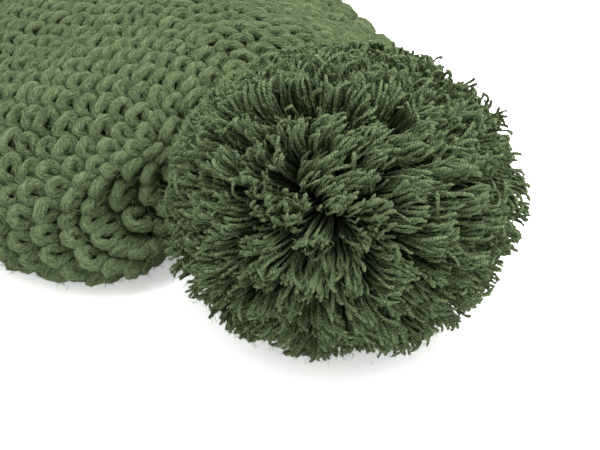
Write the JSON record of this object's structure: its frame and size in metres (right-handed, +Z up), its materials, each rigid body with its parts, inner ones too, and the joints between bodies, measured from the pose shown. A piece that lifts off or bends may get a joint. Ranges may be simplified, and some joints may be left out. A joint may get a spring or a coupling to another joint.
{
  "type": "pom pom beanie",
  "caption": "Chunky knitted winter hat with a ribbed turned-up cuff and a large yarn pom pom tied to its gathered crown, lying flat",
  "frame": {"origin": "on the surface that the hat lies on, under the middle of the whole object", "axes": "+Z up from the surface, +Y from the crown towards the open brim, +X across the hat; the pom pom is at the -Y end"},
  "size_m": [0.214, 0.3572, 0.0952],
  "materials": {
    "chunky_knit": "soft thick single-strand green yarn in large stitches",
    "rib_knit": "the same green yarn, ribbed",
    "seam_knit": "the same green yarn, edge stitches pressed together",
    "sewing_yarn": "thin green yarn",
    "tie_yarn": "strong two-ply green yarn",
    "pom_strands": "cut lengths of limp two-ply green yarn"
  },
  "bodies": {
    "hat": {"knit_shell": "chunky_knit", "ribbed_cuff": "rib_knit", "back_seam": "seam_knit", "seam_yarn": "sewing_yarn", "gathering_yarn": "sewing_yarn", "gathering_knot": "sewing_yarn", "crown_runs": "tie_yarn", "anchor_knot": "tie_yarn"},
    "tie_neck": {"neck_yarns": "tie_yarn"},
    "tie_knot": {"choke_knot": "tie_yarn"},
    "pom_pom": {"choke_yarn": "tie_yarn", "strand_bundle": "pom_strands"}
  },
  "joints": [
    {"name": "pom_lift", "type": "hinge", "parent": "hat", "child": "tie_neck", "pos_m": [0, -0.05941, 0.0472], "axis": [-1, 0, 0], "range_deg": [0, 22]},
    {"name": "pom_twist", "type": "hinge", "parent": "tie_neck", "child": "tie_knot", "pos_m": [0, -0.10889, 0.0472], "axis": [0, 1, 0], "range_deg": [-90, 90]},
    {"name": "pom_sway", "type": "hinge", "parent": "tie_knot", "child": "pom_pom", "pos_m": [0, -0.12159, 0.0472], "axis": [0, 0, 1], "range_deg": [-25, 25]}
  ]
}
